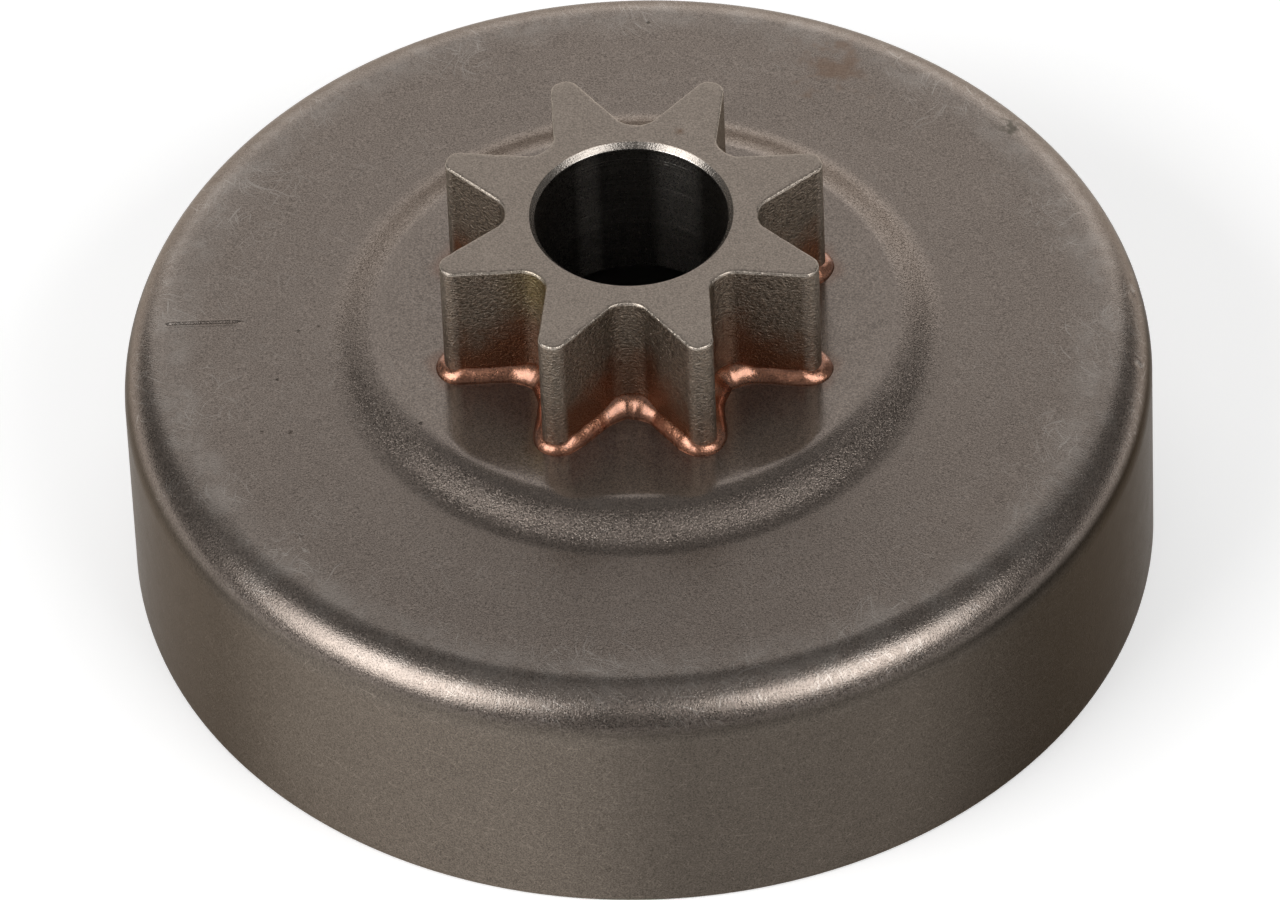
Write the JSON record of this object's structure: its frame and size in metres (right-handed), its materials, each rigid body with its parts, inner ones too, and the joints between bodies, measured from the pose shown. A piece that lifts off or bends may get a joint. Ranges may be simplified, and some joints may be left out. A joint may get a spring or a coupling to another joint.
{
  "type": "chainsaw spur sprocket",
  "caption": "Chainsaw spur sprocket: a star of drive teeth with a plain bearing bore, copper-brazed on the raised boss of a drawn steel clutch drum that is open below.",
  "frame": {"origin": "middle of the open rim that the drum stands on, on the bore's axis", "axes": "+Z along the bore's axis, from the open rim towards the teeth; X and Y each run through the middle of a gap between two teeth"},
  "size_m": [0.0694, 0.0694, 0.0302],
  "materials": {
    "drum_steel": "drawn bare steel, satin, warm grey",
    "sprocket_steel": "hard grainy steel with a ground top face",
    "braze_copper": "satin, slightly rough copper braze"
  },
  "bodies": {
    "root": {"clutch_drum": "drum_steel", "spur_sprocket": "sprocket_steel", "braze_bead": "braze_copper"}
  },
  "joints": []
}
